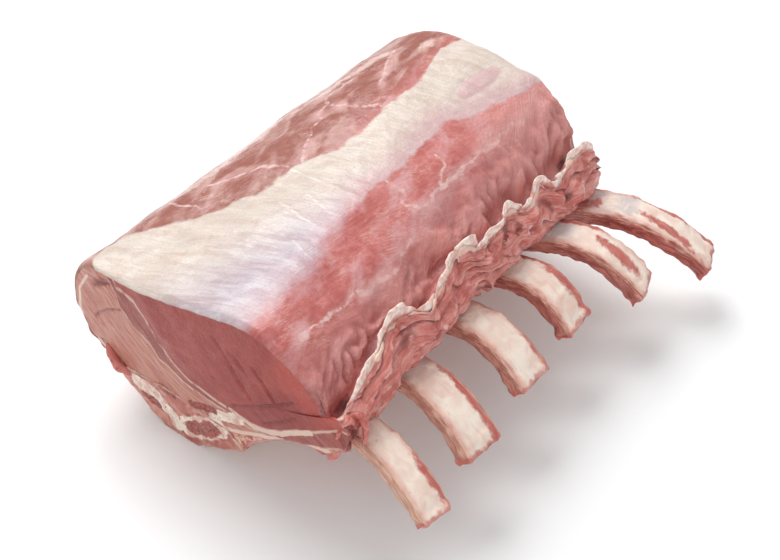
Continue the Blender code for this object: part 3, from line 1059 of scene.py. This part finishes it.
def rib(index, material):
    """One rib from the chine to its sawn end, with scraps of meat on its edges."""
    share = np.linspace(RIB_FIRST_SHARE, 1, RIB_RINGS)
    middle = rib_line(index, share)
    ahead = unit(rib_line(index, share + SHORT_STEP) - rib_line(index, share - SHORT_STEP))
    across = unit(np.cross((0, 0, 1), ahead))
    up = unit(np.cross(ahead, across))
    half_width = RIB_WIDTHS[index] / 2 * (1 - RIB_WAIST * np.sin(np.pi * share) ** 2 + RIB_FLARE * share)
    half_depth = RIB_THICKNESS / 2 * (1 - RIB_THINNING * share)
    angle = 2 * np.pi * np.arange(RIB_POINTS) / RIB_POINTS
    wide, high = (np.sign(part) * np.abs(part) ** RIB_SQUARENESS for part in (np.cos(angle), np.sin(angle)))
    rings = middle[:, None] + across[:, None] * np.outer(half_width, wide)[..., None]
    rings = rings + up[:, None] * np.outer(half_depth, high)[..., None]
    rings = np.concatenate([rings, closing(rings[-1], middle[-1], RIB_END_RINGS, RIB_END_HOLE)])
    onto = np.concatenate([np.zeros(RIB_RINGS), np.linspace(1 / RIB_END_RINGS, 1, RIB_END_RINGS)])[:, None]
    length = np.append(share, np.ones(RIB_END_RINGS))[:, None] * (RIB_TIPS[index][0] - RIB_START[0])
    from_tip = length[-1] - length
    lie = np.stack(np.broadcast_arrays(angle / (2 * np.pi) * 60, length, 50.0 * index), -1)
    side = 1.0 * (onto == 0)
    flank = np.abs(wide) ** 3 * (1 - np.abs(high) ** 6)
    corner = hill(np.abs(wide) - np.abs(high), 0, 0.35)

    seed = 13.7 * index
    relief = lumps(
        (
            (0.5, rings, 7, seed),
            (0.25, rings, 2.6, seed + 3),
            (0.7 * flank, lie, (3.6, 8, 1), seed),
            (2.2 * hill(from_tip, 1, 5) * side, rings, 4.6, seed + 17),
        )
    )
    relief += 1.5 * corner * np.maximum(0, rough(lie, (8, 5, 1), seed + 9))
    relief -= 0.4 * hill(from_tip, 0, 1) * side
    rings = rings + relief[..., None] * normals_of(rings)
    shreds = 0
    for place, reach in RIB_SHREDS[index]:
        spot = hill(wide, place, 0.45) * rise(-high, -0.1, 0.6)
        pulled = spot * hill(from_tip, 0, 1.6) * np.exp(-5.0 * onto)
        rings = rings + reach * pulled[..., None] * (ahead[-1] - 0.5 * up[-1] + 0.4 * place * across[-1])
        shreds = np.maximum(shreds, pulled)

    top = rise(high, 0.5, 0.85)
    on_top = [patch(from_tip, wide * half_width.mean(), *spot) for spot in RIB_FLESH[index]]
    fields = {
        "lie": lie,
        "flesh": rings,
        "flank": flank * side,
        "corner": corner * side,
        "root": rise(from_tip, 30, 46) * (1 - rise(from_tip, 56, 68)),
        "deep": rise(from_tip, 50, 68),
        "patches": np.max(on_top, axis=0) * top - 1.5 * (1 - top),
        "height": high,
        "end": onto,
        "from_tip": from_tip,
        "shreds": shreds,
        "bare": RIB_BARENESS[index],
    }
    made = tube(f"bone_{index + 1}", rings, material, fields)
    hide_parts(f"rib_{index + 1}")


def rib_look():
    """A scraped rib: cream bone, red and brown meat left on the flanks and edges, grey cartilage."""
    look = Look("scraped_bone", BONE)
    lie = look.vector("lie")
    flesh = look.vector("flesh")
    broad = look.grain(flesh, 9, 4, 0.7)
    fine = look.grain(flesh, 1.3, 4)
    cream = look.mix(broad.step(0.35, 0.65), (250, 234, 220), (240, 214, 200))
    stain = look.streaks(lie, (7, 12), 0, 5, 1)
    grey = look.field("root").step(0.1, 0.7) * stain.step(0.35, 0.55)
    hairs = look.streaks(lie, (0.8, 9), 0, 4)
    streaks = look.streaks(lie, (1.8, 9), 0, 5, 1.4)
    tan = look.mix(streaks.step(0.4, 0.6), (190, 128, 110), (222, 178, 158))
    dark = look.mix(streaks.step(0.4, 0.62), (134, 34, 32), (188, 80, 70))
    low = look.field("height").shaken(lie, 5, 0.9).step(1, 0.4)
    side = look.mix(low, tan, dark)
    pale = look.mix(streaks.step(0.38, 0.64), (204, 146, 122), (234, 202, 178))
    cream = look.coats(
        cream,
        (stain.step(0.55, 0.68) * 0.35, (218, 166, 148)),
        (grey * 0.7, (198, 190, 192)),
        (hairs.step(0.55, 0.75) * 0.3, (214, 168, 150)),
    )
    meaty = look.mix(streaks.step(0.35, 0.7), (176, 62, 56), (202, 104, 92))
    blush = look.field("corner").shaken(lie, 9, 0.7, 5).step(0.1, 1.1)
    side = look.mix(look.field("bare"), side, pale)
    on_top = look.field("patches").shaken(lie, 6, 0.8, 5).shaken(lie, 1.6, 0.35).step(-0.15, 0.3)
    cream = look.mix(blush * 0.55, cream, (226, 164, 146))
    colour = look.mix(on_top * 0.9, cream, meaty)
    on_edge = look.field("corner").shaken(lie, 7, 1.1, 5).shaken(lie, 1.8, 0.4).step(0.75, 1.35)
    scraped = look.mix(broad.step(0.42, 0.58), meaty, (222, 158, 136))
    strength = 0.7 - look.field("bare") * 0.5
    on_side = look.field("flank").shaken(lie, 4, 0.18, 4).step(0.35, 0.55)
    spongy = look.mix(look.cells(flesh, 1.2).step(0.2, 0.5), (176, 84, 76), (232, 192, 174))
    inside = look.field("end").shaken(flesh, 3, 0.1).step(0.25, 0.4)
    lining = look.mix(streaks.step(0.4, 0.62), (196, 122, 112), (224, 172, 160))
    rim = look.field("from_tip").shaken(flesh, 3, 2, 4).step(2.2, 0.6)
    blood = look.grain(flesh, 1.6, 6, 1).step(0.68, 0.74)
    colour = look.coats(
        colour,
        (on_edge * strength, scraped),
        (on_side, side),
        (inside, spongy),
        (look.field("deep") * 0.85, lining),
        (look.field("shreds").step(0.1, 0.4), meaty),
        (rim * 0.7, (196, 92, 82)),
        (blood * 0.4, (184, 70, 62)),
    )
    return look.finished(colour, broad * 0.25 + 0.3, (streaks, 0.35), (fine, 0.3))


def strip(name, path, width, thickness, facing, material, seed):
    """A thin ragged strip along a path, standing up in the direction it faces."""
    path = np.array(path, float)
    reach = np.append(0, np.cumsum(np.linalg.norm(np.diff(path, axis=0), axis=1)))
    at = np.linspace(0, reach[-1], max(STRIP_FEWEST_RINGS, int(reach[-1] / STRIP_STEP)))
    middle = np.stack([np.interp(at, reach, path[:, axis]) for axis in range(3)], -1)
    for _ in range(STRIP_EASINGS):
        middle[1:-1] = (middle[:-2] + 2 * middle[1:-1] + middle[2:]) / 4
    ahead = unit(np.gradient(middle, axis=0))
    facing = unit(np.array(facing, float))
    out = unit(facing - (facing * ahead).sum(-1, keepdims=True) * ahead)
    across = np.cross(ahead, out)
    share = at / reach[-1]
    ends = np.clip(np.minimum(share, 1 - share) / STRIP_TAPER, 0.02, 1) ** 0.5
    line = np.stack(np.broadcast_arrays(at, 0, 0), -1)
    ragged = 1 + lumps(((0.8, line, 10, seed), (0.18, line, 3.5, seed + 3)))
    sway = lumps(((1.8, line, 9, seed + 5), (0.3, line, 3, seed + 7)))
    angle = 2 * np.pi * np.arange(STRIP_POINTS) / STRIP_POINTS
    lift = 0.5 + 0.5 * np.sin(angle)
    high = np.outer(width * ends * ragged, lift)
    wide = np.outer(thickness / 2 * ends, np.cos(angle)) + np.outer(sway, lift)
    rings = middle[:, None] + out[:, None] * high[..., None] + across[:, None] * wide[..., None]
    rings = rings + 0.25 * rough(rings, 2.2, seed)[..., None]
    made = tube(name, rings, material, {"flesh": rings, "height": high / width})


def scrap_look(name, pale, dark):
    """Loose fat or flesh: pale or red, mottled, moist."""
    look = Look(name, SCRAP)
    flesh = look.vector("flesh")
    mottle = look.grain(flesh, 3, 5, 0.8)
    colour = look.mix(mottle.step(0.35, 0.68), pale, dark)
    foot = look.field("height").shaken(flesh, 5, 0.45).step(0.55, 0.15)
    colour = look.mix(foot * 0.8, colour, (200, 112, 104))
    return look.finished(colour, mottle * 0.3 + 0.25, (look.grain(flesh, 1.2, 4), 0.4))


def flap_path(low_y, high_y, place):
    """Points on the flap from low_y to high_y at a place round the section, sunk a little into it."""
    weights = spline_weights(np.array([place]))
    path = []
    for y in np.linspace(low_y, high_y, FAT_PATH_POINTS):
        x, z = (weights @ landmarks(y))[0]
        path.append((x - FAT_SUNK[0], y, z - FAT_SUNK[1]))
    return path


def fat_edges(material):
    """The white fat that stands up along the flap's edge, a strip for each stretch of it."""
    for number, (low_y, high_y, place, width) in enumerate(FAT_EDGES):
        path = flap_path(low_y, high_y, place)
        seed = 3 + 7 * number
        strip(f"fat_edge_{number + 1}", path, width, FAT_THICKNESS, FAT_FACING, material, seed)


def scraps(material):
    """Loose flesh: the curl beside the first rib and the scrap at the lower left."""
    for name, path, height, thickness, facing, seed in SCRAPS:
        strip(name, path, height, thickness, facing, material, seed)


def chine(material):
    """The chine: a strip of sawn vertebrae, whose sawn end shows its marrow beside the cut face."""
    corners = np.array(CHINE_OUTLINE, float)
    middle = corners.mean(axis=0)
    count = len(corners)
    lengths = np.hypot(*(np.roll(corners, -1, 0) - corners).T)
    reach = np.append(0, np.cumsum(lengths))
    places = np.interp(np.linspace(0, reach[-1], CHINE_POINTS, endpoint=False), reach, np.arange(count + 1))
    start = np.floor(places).astype(int) % count
    part = (places - np.floor(places))[:, None]
    rings = []
    along = spaced(CHINE_NEAR_Y, CHINE_FAR_Y, CHINE_RINGS, CHINE_CROWDING)
    for y in along:
        share = (y - CHINE_NEAR_Y) / (CHINE_FAR_Y - CHINE_NEAR_Y)
        waist = CHINE_WAIST * math.cos(2 * math.pi * VERTEBRAE * share)
        narrowing = CHINE_NEAR_NARROWING * max(0, 1 - share / CHINE_NARROW_SHARE)
        moved = corners.copy()
        out = np.sign(corners - middle)
        moved[:, 0] -= np.where(corners[:, 1] > 0, out[:, 0] * waist, 0)
        moved[:, 0] -= np.where((out[:, 0] > 0) & (out[:, 1] < 0), narrowing, 0)
        ring = moved[start] * (1 - part) + moved[(start + 1) % count] * part
        rings.append(np.stack([ring[:, 0], np.full(len(ring), y), ring[:, 1]], -1))
    rings = np.array(rings)
    near, far = (closing(rim, rim.mean(axis=0), CHINE_END_RINGS, CHINE_END_HOLE) for rim in rings[[0, -1]])
    rings = np.concatenate([near[::-1], rings, far])
    onto = np.pad(np.zeros(CHINE_RINGS), CHINE_END_RINGS, constant_values=1)[:, None]
    x, z = rings[..., 0], rings[..., 2]
    sawn = (z < SAWN_BELOW) & (onto == 0)
    relief = np.where(sawn, 0, lumps(((0.8, rings, 9, 41), (0.4, rings, 3, 43))))
    marked = {"bone": marks(x, z, BONE_MARKS), "marrow": marks(x, z, MARROW_MARKS)}
    rings = rings + relief[..., None] * normals_of(rings)
    rings[..., 2] = np.maximum(rings[..., 2], 0)
    made = tube("backbone", rings, material, {"flesh": rings, "end": onto, "sawn": sawn, **marked})
    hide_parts("chine")


def chine_look():
    """Sawn backbone: cream bone with red marrow in its cells, and scraps of flesh on its sides."""
    look = Look("sawn_bone", BONE)
    flesh = look.vector("flesh")
    broad = look.grain(flesh, 11, 4, 0.8)
    fine = look.grain(flesh, 1.2, 5)
    cream = look.mix(broad.step(0.35, 0.65), (234, 212, 196), (222, 184, 168))
    scraps = look.mix(fine.step(0.35, 0.7), (180, 98, 88), (212, 148, 132))
    covered = look.grain(flesh, 7, 5, 0.8).step(0.4, 0.62) * 0.85
    colour = look.mix(covered, cream, scraps)
    end = look.mix(broad.step(0.4, 0.6), (184, 100, 88), (214, 152, 136))
    end = bone_marks(look, flesh, end)
    sawn = look.mix(look.cells(flesh, 1.5).step(0.2, 0.5), (170, 88, 78), (226, 192, 172))
    colour = look.coats(colour, (look.field("end"), end), (look.field("sawn"), sawn))
    return look.finished(colour, broad * 0.25 + 0.32, (look.grain(flesh, 2.4, 4), 0.5), (fine, 0.3))


def floor():
    """A plain pale floor, wide enough to fill every view."""
    mesh = bpy.data.meshes.new("floor")
    corners = [(x * FLOOR_HALF, y * FLOOR_HALF, 0) for x, y in ((-1, -1), (1, -1), (1, 1), (-1, 1))]
    mesh.from_pydata(corners, [], [(0, 1, 2, 3)])
    look = Look("pale_floor", PLAIN)
    place = look.node("TexCoord", "Object", {})
    colour = look.mix(look.grain(place, FLOOR_GRAIN), *FLOOR_COLOURS)
    mesh.materials.append(look.finished(colour, FLOOR_ROUGHNESS))
    made = bpy.data.objects.new("floor", mesh)
    bpy.context.scene.collection.objects.link(made)


def lamp(name, place, size, power):
    """A soft square light that faces the middle of the rack."""
    light = bpy.data.lights.new(name, "AREA")
    light.shape = "SQUARE"
    light.size = size
    light.energy = power
    made = bpy.data.objects.new(name, light)
    made.location = place
    made.rotation_euler = (Vector(LAMP_TARGET) - Vector(place)).to_track_quat("-Z", "Y").to_euler()
    bpy.context.scene.collection.objects.link(made)


def lights():
    """Soft studio light from above and behind on the left, and an even pale surround."""
    bpy.context.scene.view_settings.view_transform = "Standard"
    for settings in LAMPS:
        lamp(*settings)
    world = bpy.data.worlds.new("studio")
    world.use_nodes = True
    background = world.node_tree.nodes["Background"]
    background.inputs["Color"].default_value = (1, 1, 1, 1)
    background.inputs["Strength"].default_value = SURROUND_STRENGTH
    bpy.context.scene.world = world


def camera():
    """The photograph's view."""
    data = bpy.data.cameras.new("camera")
    data.lens = LENS
    data.sensor_width = SENSOR
    back = Vector(
        (
            math.sin(CAMERA_TURN) * math.cos(CAMERA_RISE),
            -math.cos(CAMERA_TURN) * math.cos(CAMERA_RISE),
            math.sin(CAMERA_RISE),
        )
    )
    made = bpy.data.objects.new("camera", data)
    made.location = Vector(to_frame(CAMERA_TARGET)) + back * CAMERA_DISTANCE
    made.rotation_euler = (-back).to_track_quat("-Z", "Y").to_euler()
    bpy.context.scene.collection.objects.link(made)
    bpy.context.scene.camera = made


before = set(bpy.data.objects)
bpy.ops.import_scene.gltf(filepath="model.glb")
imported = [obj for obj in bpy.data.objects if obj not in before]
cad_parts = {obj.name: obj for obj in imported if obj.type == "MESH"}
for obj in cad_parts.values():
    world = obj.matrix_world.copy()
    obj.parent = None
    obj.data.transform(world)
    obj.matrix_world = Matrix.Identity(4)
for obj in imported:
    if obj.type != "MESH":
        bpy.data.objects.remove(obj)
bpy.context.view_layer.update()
SHIFT = origin_shift()

camera()
lights()
floor()
loin(flesh_look())
bone = rib_look()
for number in range(len(RIB_TIPS)):
    rib(number, bone)
chine(chine_look())
fat_edges(scrap_look("loose_fat", (248, 234, 224), (226, 182, 170)))
scraps(scrap_look("loose_flesh", (212, 128, 116), (176, 78, 72)))
